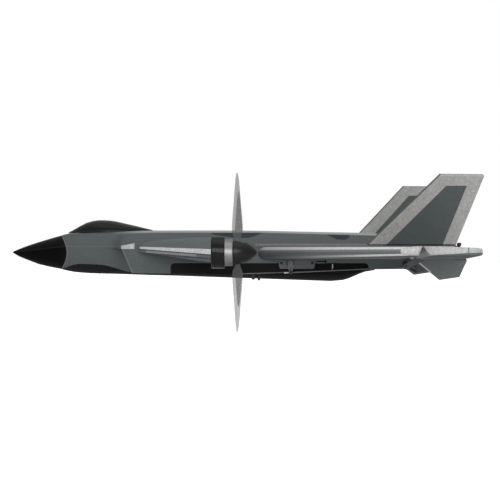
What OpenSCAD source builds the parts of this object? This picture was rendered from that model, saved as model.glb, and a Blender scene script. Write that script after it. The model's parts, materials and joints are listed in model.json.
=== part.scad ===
// Twin-motor pusher foam flying wing, drawn as the model is built.
// Millimetres. +X points aft, +Y to starboard, +Z up.
// The origin is the middle of the flat skid face under the belly.

/* [Body] */
// Nose tip ahead of the balance point
nose_reach = 280.7; // [262:1:340]
// Tail edge behind the balance point
tail_reach = 220; // [214:1:265]
// Width over the two intake boxes
body_w = 190; // [155:1:230]
// Width of the body core between the intake boxes
core_w = 124; // [100:1:140]
// Height of the flat deck
deck_h = 53.3; // [53:0.1:64]
// Height of the joint between the upper and lower body
seam_h = 33.2; // [32:0.2:34]
// Height of the nose tip
nose_h = 28.7; // [26:0.5:32]
// Where the nose cone meets the body, ahead of the balance point
cone_joint = 223; // [212:1:240]
// Half width of the flat strip along the middle of the deck
deck_flat = 28; // [20:1:34]
// Slope of the skid face, in degrees
skid_tilt = 2.03; // [0:0.01:3]
// Width of the skid plate
skid_w = 44; // [36:1:52]
// Thickness of the skid plate
skid_t = 2; // [1.5:0.1:3]
// Front and rear ends of the skid plate from the balance point
skid_front = 93; // [75:1:100]
skid_rear = 77; // [62:1:92]

/* [Intakes] */
// Upper lip of the intakes, ahead of the balance point
lip_reach = 146; // [140:1:150]
// Rear end of the intake boxes
intake_end = 153; // [140:1:160]
// Wall round the duct
duct_wall = 4.6; // [3:0.1:6]
// Depth of the duct behind the lip
duct_depth = 74; // [50:1:80]

/* [Canopy] */
// Front and rear ends of the canopy, ahead of the balance point
canopy_front = 217; // [210:1:220]
canopy_rear = 122; // [112:1:124]
// Largest half width of the canopy
canopy_half_w = 23.5; // [22:0.5:25]
// Height of the canopy's crown
canopy_h = 65.3; // [60:0.5:76]
// Wall of the canopy
canopy_wall = 1.6; // [1.2:0.1:2.4]
// How far the canopy lifts off
canopy_lift = 45; // [20:1:80]

/* [Bay] */
// Battery length
battery_l = 76; // [60:1:84]
// Battery width
battery_w = 30; // [26:0.5:31]
// Battery height
battery_h = 25; // [18:0.5:26]
// Half width of the bay
bay_half_w = 20; // [19:0.5:21]
// Floor of the bay
bay_floor = 17.5; // [17:0.1:19]
// Front and rear ends of the bay, ahead of the balance point
bay_front = 188; // [182:1:192]
bay_rear = 24; // [10:1:40]

/* [Wing] */
// Wing span
wing_span = 690; // [570:1:830]
// Leading edge at the root, from the balance point
wing_le_root = -3; // [-12:1:6]
// Leading edge at the tip
wing_le_tip = 107; // [92:1:112]
// Height and thickness of the wing at the root
wing_root_z = 22.1; // [20:0.1:23]
wing_root_t = 14; // [12.5:0.1:15]
// Height and thickness of the wing at the tip
wing_tip_z = 29.8; // [28:0.1:31]
wing_tip_t = 7.9; // [7:0.1:9.5]
// Share of the span that the main spar takes up
main_spar_share = 0.667; // [0.6:0.001:0.69]
// Diameter of the main spar
main_spar_d = 6; // [4:0.5:6]
// Share of the span that the front spar takes up
front_spar_share = 0.478; // [0.4:0.001:0.49]
// Diameter of the front spar
front_spar_d = 5; // [3:0.5:6]

/* [Elevons] */
// Hinge line at the root and at the tip
hinge_root = 151; // [146:0.5:155]
hinge_tip = 124.7; // [122:0.1:132]
// Trailing edge at the root and at the tip
te_root = 212; // [200:1:214]
te_tip = 172.4; // [165:0.1:182]
// Fall of the elevon's top face towards its trailing edge
te_droop = 1.5; // [1:0.1:3]
// Gap at the top of the hinge groove
hinge_gap = 0.9; // [0.6:0.1:1.4]
// Length of the control horn below the hinge
horn_drop = 21.2; // [19:0.05:22]

/* [Fins] */
// Lean of the fins from upright, in degrees
fin_cant = 21.5; // [15:0.5:24]
// Height of the fins along their own plane
fin_h = 79.4; // [60:0.1:96]
// Depth of the ventral fins along their own plane
ventral_h = 37.9; // [31:0.1:38]
// Thickness of the fins
fin_t = 6; // [4.8:0.1:7]
// Distance of the fin roots from the body's sides
fin_inset = 5; // [4:0.5:7]

/* [Power] */
// Distance from the middle to the motor axes
motor_y = 184; // [180:1:200]
// Height of the motor axes
motor_z = 30.7; // [29:0.1:32]
// Outside of the motor mount cup
mount_d = 30.8; // [29.5:0.1:34]
// Outside of the motor bell
bell_d = 26; // [24:0.1:27]
// Propeller diameter
prop_d = 152.4; // [127:0.1:165]
// Propeller pitch
prop_pitch = 101.6; // [75:1:125]
// Outside of the spinner
spinner_d = 25.4; // [24:0.1:30]
// Motor shaft diameter
shaft_d = 4; // [3:0.1:5]

/* [Linkage] */
// Servo case length, height and depth
servo_l = 22.8; // [20:0.1:24]
servo_w = 12; // [10:0.1:12.2]
servo_depth = 22; // [18:0.1:24]
// Servo axis from the balance point, and its height
servo_x = 30.7; // [28:0.1:34]
servo_z = 18.6; // [18:0.1:19]
// Reach of the servo arm
arm_reach = 9.8; // [8:0.1:11]
// Thickness of the servo arm and of the control horn
arm_t = 1.6; // [1.2:0.1:2]
// Pushrod diameter
rod_d = 1.3; // [1.1:0.1:1.6]

/* [Hidden] */

LEFT = -1;
RIGHT = 1;
foam_grey = [0.33, 0.35, 0.35];
foam_light = [0.66, 0.67, 0.67];
skin_black = [0.07, 0.07, 0.075];
smoke = [0.5, 0.5, 0.48, 0.6];

fit = 0.05;             // gap between glued or pressed pieces
lift_gap = 0.3;         // gap under what lifts off
slack = 0.2;            // gap round what slides in by hand
run_fit = 0.05;         // gap round a pin that turns
body_half = body_w / 2;
core_half = core_w / 2;
side_y = body_half + fit;
tip_y = wing_span / 2;

// Lift-off recess, magnets and small pieces
magnet_d = 6;
magnet_t = 2;
tray_t = 1.5;
strap_w = 16;
strap_t = 1;

// Curves

function clamp(v, low, high) = max(low, min(high, v));
function mix(a, b, t) = a + (b - a) * t;
function chord(t, i) = (t[i + 1][1] - t[i][1]) / (t[i + 1][0] - t[i][0]);
function piece(t, x, i = 0) = i >= len(t) - 2 || x < t[i + 1][0] ? i : piece(t, x, i + 1);
function bend(a, b) = a * b <= 0 ? 0 : 2 * a * b / (a + b);
function slope(t, i) =
  i == 0 ? chord(t, 0) :
  i == len(t) - 1 ? chord(t, i - 1) :
  bend(chord(t, i - 1), chord(t, i));

// Value at x on a smooth line through the [x, value] rows of t, with no overshoot
function curve(t, x) =
  let(
    i = piece(t, x),
    h = t[i + 1][0] - t[i][0],
    s = clamp((x - t[i][0]) / h, 0, 1),
    a = slope(t, i) * h,
    b = slope(t, i + 1) * h
  )
  t[i][1] * (2 * pow(s, 3) - 3 * pow(s, 2) + 1) + a * (pow(s, 3) - 2 * pow(s, 2) + s)
  + t[i + 1][1] * (3 * pow(s, 2) - 2 * pow(s, 3)) + b * (pow(s, 3) - pow(s, 2));

// Solid skin over rings that all have the same number of points
module loft(rings) {
  n = len(rings[0]);
  m = len(rings);
  first = m * n;
  points = concat([for (r = rings) each r], [middle(rings[0]), middle(rings[m - 1])]);
  sides = [for (i = [0 : m - 2], j = [0 : n - 1], k = [0, 1])
    let(a = i * n + j, b = i * n + (j + 1) % n, c = a + n, d = b + n)
    k == 0 ? [a, b, d] : [a, d, c]];
  ends = [for (j = [0 : n - 1], k = [0, 1])
    let(a = j, b = (j + 1) % n, last = (m - 1) * n)
    k == 0 ? [b, a, first] : [a + last, b + last, first + 1]];
  polyhedron(points = points, faces = concat(sides, ends));
}

function middle(ring) = [for (k = [0 : 2]) sum([for (p = ring) p[k]]) / len(ring)];
function sum(v, i = 0) = i == len(v) ? 0 : v[i] + sum(v, i + 1);

module on_side(s) {
  if (s > 0)
    children();
  else
    mirror([0, 1, 0]) children();
}

// A rod along X, Y or Z from the given point
module rod_x(r, h) {
  rotate([0, 90, 0]) cylinder(r = r, h = h, $fn = 48);
}
module rod_y(r, h) {
  rotate([-90, 0, 0]) cylinder(r = r, h = h, $fn = 48);
}

// A box given by its lowest and highest corners
module block(low, high) {
  translate(low) cube(high - low);
}

// Body lines: each row is a station and the value there

top_line = [
  [-nose_reach, nose_h + 0.8], [-267.9, 34.8], [-243.4, 42.8], [-223, 48.5], [-216, 50.1],
  [-173, 51], [-148, 52.3], [-118, deck_h], [-31, deck_h], [59, deck_h - 1.6],
  [117, deck_h - 2.7], [133, deck_h - 3.6], [175, 45.5], [205, 39.5], [tail_reach, 34.5]
];
half_w_line = [
  [-nose_reach, 0.8], [-267.9, 7.6], [-243.4, 16.4], [-223, 22.2], [-200, 28.2],
  [-173, 34], [-160, 40], [-lip_reach, body_half - 1.5], [-lip_reach + 7, body_half],
  [intake_end, body_half], [intake_end + 6, body_half - 2], [tail_reach, body_half - 5]
];
shoulder_line = [
  [-nose_reach, nose_h], [-267.9, 28.4], [-243.4, 32.4], [-223, 35.2], [-160, 35.6],
  [-lip_reach, 35.9], [-132.6, 38.9], [-100, 38.2], [0, 37.2], [intake_end, 36.6],
  [205, 36.4], [tail_reach, 33]
];
flat_line = [
  [-nose_reach, 0.1], [-243.4, 1], [-223, 4], [-205, 13], [-170, deck_flat - 3],
  [-120, deck_flat], [133, deck_flat], [tail_reach, deck_flat + 14]
];
bottom_front = [
  [-nose_reach, nose_h - 0.8], [-272.7, 23.3], [-265, 20.3], [-249, 14.4], [-226.8, 9.7], [-206.4, 6.1],
  [-182.7, 4.9], [-147.9, 4.5], [-skid_front, skid_front * tan(skid_tilt)]
];
bottom_rear = [
  [skid_rear, -skid_rear * tan(skid_tilt)], [90.8, -1.6], [97, 0.2], [103, 2.8], [109, 5.4],
  [114.8, 7.6], [124.6, 9.2], [150, 12.5], [tail_reach, 21]
];
core_line = [
  [-nose_reach, 0.8], [-267.9, 7.6], [-243.4, 16.4], [-223, 22.2], [-200, 28.2],
  [-173, 34], [-160, 38], [-lip_reach + 26, core_half - 1], [intake_end, core_half - 1],
  [tail_reach, core_half - 12]
];
pan_line = [
  [-cone_joint, 10], [-201.7, 16], [-176.7, 15.3], [-140.5, 7.4], [-60, 6.4],
  [0, 5.6], [skid_rear, 4.4], [103, 6.4], [114.8, 9.8], [124.6, 10.6]
];
seam_line = [
  [-cone_joint, seam_h + 1.4], [-lip_reach, seam_h], [100, seam_h],
  [intake_end, seam_h - 8.2], [170, seam_h - 9.2], [tail_reach, seam_h - 9.2]
];

function skid_z(x) = -x * tan(skid_tilt);
function bottom(x) =
  x < -skid_front ? curve(bottom_front, x) : x > skid_rear ? curve(bottom_rear, x) : skid_z(x);
function seam(x) = lookup(x, seam_line);
function boxiness(x) = lookup(x, [[-nose_reach, 2], [-200, 2.3], [-120, 6], [tail_reach, 6]]);
function roundness(x) = lookup(x, [[-nose_reach, 1], [-190, 1], [-150, 1.7], [tail_reach, 1.7]]);
function belly_flat(x) =
  lookup(x, [[-nose_reach, 0.1], [-223, 5], [-150, skid_w / 2], [tail_reach, skid_w / 2]]);

// Half outline over the deck, from the shoulder to the middle
function over(x, steps = 8) =
  let(w = curve(half_w_line, x), e = roundness(x), f = min(curve(flat_line, x), w - 1),
      low = curve(shoulder_line, x), high = curve(top_line, x))
  [for (k = [0 : steps]) let(a = 90 * k / steps)
    [f + (w - f) * pow(cos(a), e), low + (high - low) * pow(sin(a), e)]];

// Half width of the lower body at height z
function side_at(x, z) =
  let(w = curve(core_line, x), f = min(belly_flat(x), w - 0.5), e = boxiness(x),
      s = clamp((seam(x) - z) / (seam(x) - bottom(x)), 0, 1))
  f + (w - f) * pow(1 - pow(s, e), 1 / e);

// Closed ring from a half outline given as [y, z] from one edge to the middle or back
function ring(x, half) = concat(
  [for (p = half) [x, -p[0], p[1]]],
  [for (i = [len(half) - 1 : -1 : 0]) [x, half[i][0], half[i][1]]]);

deck_stations = concat(
  [for (x = [-cone_joint : 7 : -lip_reach - 16]) x],
  [for (x = [-lip_reach - 12 : 4 : -lip_reach]) x],
  [-lip_reach + 3, -lip_reach + 7, -132.6, -118],
  [for (x = [-100 : 25 : 100]) x],
  [117, 133, intake_end - 4, intake_end, intake_end + 6, 170, 188, 205, tail_reach]);
core_stations = concat(
  [for (x = [-cone_joint : 7 : -lip_reach - 8]) x],
  [-lip_reach, -132.6, -lip_reach + 26, -skid_front, -60, 0, 40, skid_rear, 84, 91, 97, 103,
   109, 115, 124.6, 138, intake_end, 170, 195, tail_reach - 5]);
pan_stations = [for (x = core_stations) if (x <= 124.6) x];

// Body

module nose_cone() {
  stations = [-nose_reach, -nose_reach + 2.5, -nose_reach + 6.5, -267.9, -260, -252, -243.4,
              -236, -229, -cone_joint - fit];
  steps = 8;
  color(skin_black)
    loft([for (x = stations)
      let(w = curve(half_w_line, x), zs = curve(shoulder_line, x), top = curve(top_line, x),
          low = bottom(x), f = min(curve(flat_line, x), w / 4))
      concat(
        [for (k = [0 : steps]) let(a = 180 - 180 * k / steps, c = cos(a))
          [x, sign(c) * (f + (w - f) * abs(c)), zs + (top - zs) * sin(a)]],
        [for (k = [1 : steps - 1]) let(a = 180 * k / steps, c = cos(a))
          [x, sign(c) * (f + (w - f) * abs(c)), zs - (zs - low) * sin(a)]])]);
}

// Space under the canopy and the deck, seen from above
module bay_hole(low, high, grow = 0) {
  block([-bay_front - grow, -bay_half_w - grow, low], [-bay_rear + grow, bay_half_w + grow, high]);
}

hatch_front = canopy_front - 27;
hatch_rear = canopy_rear + 26;
hatch_half_w = 16.5;
bay_roof = deck_h - 7;

module hatch_hole() {
  block([-hatch_front, -hatch_half_w, seam_h - 5], [-hatch_rear, hatch_half_w, canopy_h]);
}

module fuselage_top() {
  color(foam_grey)
    difference() {
      loft([for (x = deck_stations)
        ring(x, concat([[curve(half_w_line, x), seam(x)]], over(x)))]);
      bay_hole(0, bay_roof);
      hatch_hole();
      magnet_pockets();
      fin_slot(LEFT);
      fin_slot(RIGHT);
      knob_sockets();
    }
}

module fuselage_bottom() {
  color(foam_grey)
    difference() {
      loft([for (x = core_stations)
        let(high = seam(x) - fit, low = core_low(x), steps = 6)
        ring(x, [for (k = [0 : steps]) let(z = mix(low, high, k / steps)) [side_at(x, z), z]])]);
      bay_hole(bay_floor, canopy_h);
      strap_groove();
      spar_hole(main_spar_x, main_spar_z, main_spar_d);
      spar_hole(front_spar_x, front_spar_z, front_spar_d);
    }
}

// The lower body ends on the belly pan, and behind the pan it runs down to the skin
function core_low(x) = x <= 124.6 ? curve(pan_line, x) + fit : bottom(x);

module belly_pan() {
  color(skin_black)
    difference() {
      loft([for (x = pan_stations)
        let(high = curve(pan_line, x), low = bottom(x), steps = 6)
        ring(x, [for (k = [0 : steps])
          let(z = high - (high - low) * sin(90 * (1 - k / steps))) [side_at(x, z), z]])]);
      skid_slab(skid_t + fit, fit);
    }
}

// Slab along the skid face, which passes through the origin
module skid_slab(t, grow = 0) {
  rotate([0, skid_tilt, 0])
    block([-skid_front - grow, -skid_w / 2 - grow, -grow],
          [skid_rear + grow, skid_w / 2 + grow, t]);
}

module skid_plate() {
  color(skin_black) skid_slab(skid_t);
}

// Intake boxes, with the duct open to the front

intake_inner = core_half + 0.3;
duct_low = 12;
duct_high = 29;
esc_l = 42;
esc_w = 22;
esc_h = 9;
esc_x = -48;

function esc_floor() = seam_h - esc_h - 2;

module intake(s) {
  color(foam_grey)
    on_side(s) difference() {
      translate([0, body_half, 0]) rotate([90, 0, 0])
        linear_extrude(body_half - intake_inner)
          polygon([
            [-lip_reach, seam_h - fit], [100, seam_h - fit],
            [intake_end, seam_h - 8.2 - fit], [intake_end, 12.2], [112.6, 11.7],
            [-19, 6.5], [-lip_reach + 11, 8]
          ]);
      block([-lip_reach - 5, intake_inner + duct_wall, duct_low],
            [-lip_reach + duct_depth, body_half - duct_wall, duct_high]);
      block([esc_x - slack, intake_inner + duct_wall, esc_floor()],
            [esc_x + esc_l + slack, intake_inner + duct_wall + esc_w + 2 * slack, canopy_h]);
      servo_pocket();
      spar_hole(main_spar_x, main_spar_z, main_spar_d);
      spar_hole(front_spar_x, front_spar_z, front_spar_d);
      fin_slot(RIGHT);
      peg_stems(fit);
    }
}

// Round and square pegs under each intake box

peg_y = body_half - 7;
peg_low = 0.1;
peg_round_r = 1.8;
peg_square = 2.6;
peg_depth = 3.2;
stem_half = 1.1;
stem_top = 11;
peg_x = [-8, -2.1];

module peg_stems(grow) {
  for (x = peg_x)
    block([x - stem_half - grow, peg_y - stem_half - grow, peg_square],
          [x + stem_half + grow, peg_y + stem_half + grow, stem_top + grow]);
}

module launch_pegs() {
  color(skin_black)
    for (s = [LEFT, RIGHT]) on_side(s) {
      peg_stems(0);
      translate([peg_x[0], peg_y - peg_depth / 2, peg_low + 0.7 + peg_round_r])
        rod_y(peg_round_r, peg_depth);
      block([peg_x[1] - peg_square / 2, peg_y - peg_depth / 2, peg_low],
            [peg_x[1] + peg_square / 2, peg_y + peg_depth / 2, peg_low + peg_square + 0.2]);
    }
}

// Canopy, hatch plate and magnets

canopy_width = [
  [-canopy_front, 2.5], [-canopy_front + 11, 12], [-canopy_front + 26, 19.5],
  [-canopy_front + 46, canopy_half_w], [-150, canopy_half_w - 0.8], [-133, 15], [-canopy_rear, 3]
];
canopy_crown = [
  [-canopy_front, 51.6], [-211.2, 54.5], [-201.7, mix(deck_h, canopy_h, 0.55)],
  [-192.2, canopy_h - 1.5], [-182.7, canopy_h], [-173.3, canopy_h - 0.2],
  [-147.9, mix(deck_h, canopy_h, 0.58)], [-canopy_rear, deck_h + 0.8]
];

function canopy_ring(x, inset, floor_z) =
  let(w = max(curve(canopy_width, x) - inset, 0.4), top = curve(canopy_crown, x) - inset,
      low = floor_z, steps = 8)
  ring(x, [for (k = [0 : steps]) let(a = 90 * k / steps)
    [w * pow(cos(a), 0.9), low + max(top - low, 0.2) * pow(sin(a), 0.9)]]);

module canopy() {
  stations = [for (k = [0 : 14]) -canopy_front + (canopy_front - canopy_rear) * k / 14];
  inner = [for (k = [0 : 10]) -canopy_front + 12 + (canopy_front - canopy_rear - 30) * k / 10];
  color(skin_black)
    difference() {
      loft([for (x = stations) canopy_ring(x, 0, curve(top_line, x) + lift_gap)]);
      loft([for (x = inner) canopy_ring(x, canopy_wall, 45)]);
      hatch_sheet(fit, 1);
    }
}

// Foam plug that fills the hatch, under a sheet that the canopy is glued round

hatch_z = bay_roof + 0.1;
magnet_x = -hatch_front - 8;
magnet_y = 8;
magnet_top = curve(top_line, magnet_x) - 0.4;

sheet_t = 1.5;
sheet_rear = -hatch_rear - 0.3;

function sheet_half_w(x) = curve(canopy_width, x) - canopy_wall - 0.2;

module hatch_sheet(grow, drop) {
  loft([for (k = [0 : 8])
    let(x = mix(magnet_x - 4 - grow, sheet_rear + grow, k / 8), w = sheet_half_w(x) + grow,
        z = curve(top_line, x) + lift_gap)
    ring(x, [[w, z - drop], [w, z + sheet_t + grow]])]);
}

module hatch_plate() {
  color(foam_light)
    difference() {
      union() {
        block([-hatch_front + 0.3, -hatch_half_w + slack, hatch_z],
              [sheet_rear, hatch_half_w - slack, curve(top_line, -hatch_front) + lift_gap + 0.8]);
        hatch_sheet(0, 0);
      }
      at_magnets() translate([0, 0, lift_gap]) cylinder(r = magnet_d / 2 + fit, h = 2.4, $fn = 48);
    }
}

module at_magnets() {
  for (y = [-1, 1]) translate([magnet_x, y * magnet_y, magnet_top]) children();
}

module magnet_pockets() {
  at_magnets() translate([0, 0, -magnet_t - fit])
    cylinder(r = magnet_d / 2 + fit, h = magnet_t + 4, $fn = 48);
}

module hatch_magnets() {
  color("silver")
    at_magnets() translate([0, 0, -magnet_t]) cylinder(r = magnet_d / 2, h = magnet_t, $fn = 48);
}

module canopy_magnets() {
  color("silver")
    at_magnets() translate([0, 0, 2 * lift_gap])
      cylinder(r = magnet_d / 2, h = magnet_t, $fn = 48);
}

// What the bay holds

tray_front = bay_front - 2;
tray_rear = bay_rear + 2;
tray_half_w = bay_half_w - 0.6;
battery_x = -bay_front + 23;
battery_z = bay_floor + fit + tray_t + fit;

module equipment_tray() {
  color("tan")
    difference() {
      block([-tray_front, -tray_half_w, bay_floor + fit],
            [-tray_rear, tray_half_w, bay_floor + fit + tray_t]);
      for (s = [LEFT, RIGHT]) on_side(s)
        block([battery_x + battery_l / 2 - strap_w / 2 - slack, battery_w / 2 + 0.1, bay_floor - 1],
              [battery_x + battery_l / 2 + strap_w / 2 + slack, battery_w / 2 + strap_t + 0.4,
               bay_floor + 3]);
    }
}

module battery() {
  color([0.1, 0.15, 0.35])
    block([battery_x, -battery_w / 2, battery_z],
          [battery_x + battery_l, battery_w / 2, battery_z + battery_h]);
}

module strap_groove() {
  block([battery_x + battery_l / 2 - strap_w / 2 - slack, -battery_w / 2 - 2, bay_floor - 1.4],
        [battery_x + battery_l / 2 + strap_w / 2 + slack, battery_w / 2 + 2, bay_floor + 1]);
}

module battery_strap() {
  x0 = battery_x + (battery_l - strap_w) / 2;
  y0 = battery_w / 2 + 0.2;
  z0 = bay_floor - 0.1;
  color("dimgray")
    difference() {
      block([x0, -y0 - strap_t + 0.1, z0 - strap_t], [x0 + strap_w, y0 + strap_t - 0.1,
            battery_z + battery_h + 0.2 + strap_t]);
      block([x0 - 1, -y0 + 0.1, z0], [x0 + strap_w + 1, y0 - 0.1, battery_z + battery_h + 0.2]);
    }
}

board_x = -72;

module flight_controller() {
  color("darkgreen") {
    block([board_x, -13.5, battery_z + 3], [board_x + 36, 13.5, battery_z + 4.6]);
    block([board_x + 6, -9, battery_z + 4.6], [board_x + 30, 9, battery_z + 9]);
    for (x = [board_x + 3, board_x + 33], y = [-11, 11])
      translate([x, y, battery_z]) cylinder(r = 2, h = 3, $fn = 32);
  }
}

module receiver() {
  color("black")
    block([board_x + 10, -8, battery_z + 9.1], [board_x + 28, 8, battery_z + 14]);
}

module esc(s) {
  color("darkred")
    on_side(s)
      block([esc_x, intake_inner + duct_wall + slack, esc_floor() + fit],
            [esc_x + esc_l, intake_inner + duct_wall + slack + esc_w, esc_floor() + fit + esc_h]);
}

// Strakes, which carry the motors at their outer rear corners

strake_front = 128.6;
strake_rear = 49.4;
nacelle_out = motor_y + mount_d / 2 - 0.4;
ridge_share = 0.856;
ridge_rise = [[0, 37.6], [0.16, 41], [0.45, 43.4], [0.67, 44.7], [1, motor_z + 14.7]];
keel_drop = [[0, 29.5], [0.4, 26.5], [0.8, 22.5], [1, motor_z - 9.8]];

function strake_ring(t) =
  let(
    x = mix(-strake_front, -strake_rear, t),
    le = mix(side_y + 0.4, nacelle_out, t),
    ridge_y = mix(side_y, le, ridge_share),
    top = curve(ridge_rise, t), keel = curve(keel_drop, t),
    band_top = mix(35.2, 33.9, t), band_mid = mix(32.6, 29.3, t), band_low = mix(30.6, 26.2, t),
    root_top = 38.2, root_low = mix(29.5, 26, t)
  )
  [for (p = [
    [side_y, root_low], [side_y, root_top],
    [mix(side_y, ridge_y, 0.5), mix(root_top, top, 0.3)],
    [mix(side_y, ridge_y, 0.85), mix(root_top, top, 0.86)],
    [ridge_y, top],
    [mix(ridge_y, le, 0.45), mix(top, band_top, 0.14)],
    [mix(ridge_y, le, 0.8), mix(top, band_top, 0.5)],
    [le - 1.4, band_top], [le, mix(band_top, band_mid, 0.45)], [le - 0.1, band_mid],
    [le - 1.3, band_low],
    [mix(ridge_y, le, 0.85), mix(band_low, keel, 0.5)],
    [mix(ridge_y, le, 0.4), keel + 0.3],
    [mix(side_y, ridge_y, 0.86), keel],
    [mix(side_y, ridge_y, 0.5), mix(root_low, keel, 0.45)]
  ]) [x, p[0], p[1]]];

module strake(s) {
  color(foam_grey)
    on_side(s) difference() {
      loft([for (t = [0, 0.06, 0.12, 0.2, 0.32, 0.45, 0.6, 0.8, 1]) strake_ring(t)]);
      at_motor() screw_ring(screw_r + 0.1, -screw_in - 0.4, 20);
    }
}

// Wings and elevons

function wing_z(y) = mix(wing_root_z, wing_tip_z, (y - body_half) / (tip_y - body_half));
function wing_t(y) = mix(wing_root_t, wing_tip_t, (y - body_half) / (tip_y - body_half));
function wing_le(y) = mix(wing_le_root, wing_le_tip, (y - body_half) / (tip_y - body_half));
function hinge_x(y) = mix(hinge_root, hinge_tip, (y - body_half) / (tip_y - body_half));
function wing_te(y) = mix(te_root, te_tip, (y - body_half) / (tip_y - body_half));
function hinge_z(y) = wing_z(y) + wing_t(y);
groove_front = 0.45;     // run of the groove's front and rear faces, as shares of the thickness
groove_rear = 0.75;

function wing_ring(y) =
  let(x = wing_le(y), z = wing_z(y), t = wing_t(y), h = hinge_x(y) - hinge_gap / 2,
      heel = h - groove_front * t, flat = min(26, 0.95 * (heel - x)), toe = min(12, 0.8 * flat),
      nib = min(5, 0.4 * flat))
  [for (p = [
    [h, z + t], [x + flat, z + t], [x + toe, z + t - 0.25], [x + nib, z + t - 1.1],
    [x + nib / 3, z + t * 0.8], [x, z + t * 0.62], [x, z + t * 0.34],
    [x + nib / 3, z + t * 0.14], [x + nib, z + 0.8], [x + toe, z + 0.2], [x + flat, z], [heel, z]
  ]) [p[0], y, p[1]]];

module wing(s) {
  color(foam_grey)
    on_side(s) difference() {
      loft([wing_ring(side_y), wing_ring(mix(side_y, tip_y, 0.5)), wing_ring(tip_y)]);
      spar_hole(main_spar_x, main_spar_z, main_spar_d);
      spar_hole(front_spar_x, front_spar_z, front_spar_d);
    }
}

elevon_gap = 3;          // between the elevon and the body, at the hinge
elevon_flare = 7;        // what the elevon's inner end gives way to the fin, at its rear
tip_inset = 0.6;

// Ring at the inner end, at share e = 0, or at the tip, e = 1
function elevon_ring(e) =
  let(y = mix(body_half + elevon_gap, tip_y - tip_inset, e), x = hinge_x(y) + hinge_gap / 2,
      z = wing_z(y), t = wing_t(y), te = wing_te(y), top = z + t, rear_top = top - te_droop,
      flare = elevon_flare * (1 - e))
  [for (p = [
    [x, top], [x + groove_rear * t, z], [te - 3, z], [te - 0.8, z + 0.6], [te, z + 1.8],
    [te, rear_top - 1.8], [te - 0.8, rear_top - 0.6], [te - 3, rear_top + 0.05],
    [mix(x, te, 0.45), top - te_droop / 4]
  ]) [p[0], y + flare * (p[0] - x) / (te - x), p[1]]];

module elevon(s) {
  color(foam_grey) on_side(s) loft([elevon_ring(0), elevon_ring(0.5), elevon_ring(1)]);
}

// Spars

main_spar_x = 100;
main_spar_z = 30;
front_spar_x = 44;
front_spar_z = 29.2;
main_spar_l = wing_span * main_spar_share;
front_spar_l = wing_span * front_spar_share;

module spar_hole(x, z, d) {
  l = d == main_spar_d ? main_spar_l : front_spar_l;
  translate([x, -l / 2 - 1, z]) rod_y(d / 2 + fit, l + 2);
}

module main_spar() {
  color(skin_black)
    translate([main_spar_x, -main_spar_l / 2, main_spar_z]) rod_y(main_spar_d / 2, main_spar_l);
}

module front_spar() {
  color(skin_black)
    translate([front_spar_x, -front_spar_l / 2, front_spar_z])
      rod_y(front_spar_d / 2, front_spar_l);
}

// Fins and ventral fins, one plate on each side that passes through the body

fin_root_y = body_half - fin_inset;
fin_root_z = 36;
fin_le_root = 111.7;
fin_outline = [
  [fin_le_root, 1.6], [182.7, fin_h], [227.9, fin_h - 0.5], [204.8, 2.6], [203, -3],
  [203, -14], [218.1, -14.9], [211.6, -ventral_h + 3.5], [190.2, -ventral_h], [164.4, -16.4],
  [150, -9], [130, -3]
];

module in_fin_plane() {
  translate([0, fin_root_y, fin_root_z]) rotate([90 - fin_cant, 0, 0]) children();
}

module fin_plate(grow) {
  in_fin_plane() translate([0, 0, -fin_t / 2 - grow]) linear_extrude(fin_t + 2 * grow)
    polygon(fin_outline);
}

module fin(s) {
  color(foam_light) on_side(s) fin_plate(0);
}

// Slot through the body, which leaves the plate's own outline free on every side
module fin_slot(s) {
  on_side(s) {
    fin_plate(fit);
    in_fin_plane() translate([0, 0, -fin_t / 2 - fit]) linear_extrude(fin_t + 2 * fit)
      polygon([[fin_le_root - 0.5, 1.5], [129, -3.5], [149, -9.6], [164, -17.2], [190.2, -ventral_h],
               [219, -ventral_h], [219, -14.4], [204, -13.5], [205.6, 2.8], [206, 8],
               [fin_le_root + 4, 8]]);
  }
}

knob_x = 209;
knob_r = 2.3;
knob_low = 29.1;
knob_h = 7.3;
stud_r = 1.2;

module knob_sockets() {
  for (s = [LEFT, RIGHT]) on_side(s)
    translate([knob_x, fin_root_y - 1, knob_low - 0.1]) {
      cylinder(r = stud_r + fit, h = 12, $fn = 32);
      translate([0, 0, knob_h]) cylinder(r = knob_r + fit, h = 12, $fn = 32);
    }
}

module fin_knobs() {
  color(skin_black)
    for (s = [LEFT, RIGHT]) on_side(s) translate([knob_x, fin_root_y - 1, 0]) {
      translate([0, 0, knob_low]) cylinder(r = stud_r, h = knob_h + 1, $fn = 32);
      translate([0, 0, knob_low + knob_h]) cylinder(r = knob_r, h = 2.6, $fn = 32);
      translate([0, 0, knob_low + knob_h + 2.6]) cylinder(r1 = knob_r, r2 = 1.4, h = 0.8, $fn = 32);
    }
}

// Power: everything turns about X, so each piece is drawn along Z and laid over

mount_front = -49.3;
mount_rear = -36.5;
mount_floor = 2.8;
cup_wall = 1.7;
bell_front = -43;
bell_rear = -28.4;
bell_wall = 1.4;
base_t = 1.6;
screw_circle = 16;
screw_r = 1.2;
screw_in = 3;            // how far the motor screws go into the strake

module at_motor() {
  translate([0, motor_y, motor_z]) rotate([0, 90, 0]) children();
}

// Four screws or screw holes round the motor axis
module screw_ring(r, from, length) {
  for (a = [45 : 90 : 315]) rotate([0, 0, a])
    translate([screw_circle / 2, 0, mount_front + from]) cylinder(r = r, h = length, $fn = 32);
}

module motor_mount(s) {
  h = mount_rear - mount_front;
  color(skin_black)
    on_side(s) at_motor() difference() {
      translate([0, 0, mount_front]) rotate_extrude($fn = 96)
        polygon([[3, 0], [mount_d / 2 - 0.8, 0], [mount_d / 2, 0.8], [mount_d / 2, h - 0.6],
                 [mount_d / 2 - 0.6, h], [mount_d / 2 - cup_wall, h],
                 [mount_d / 2 - cup_wall, mount_floor], [3, mount_floor]]);
      screw_ring(screw_r + 0.1, -1, 20);
    }
}

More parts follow.
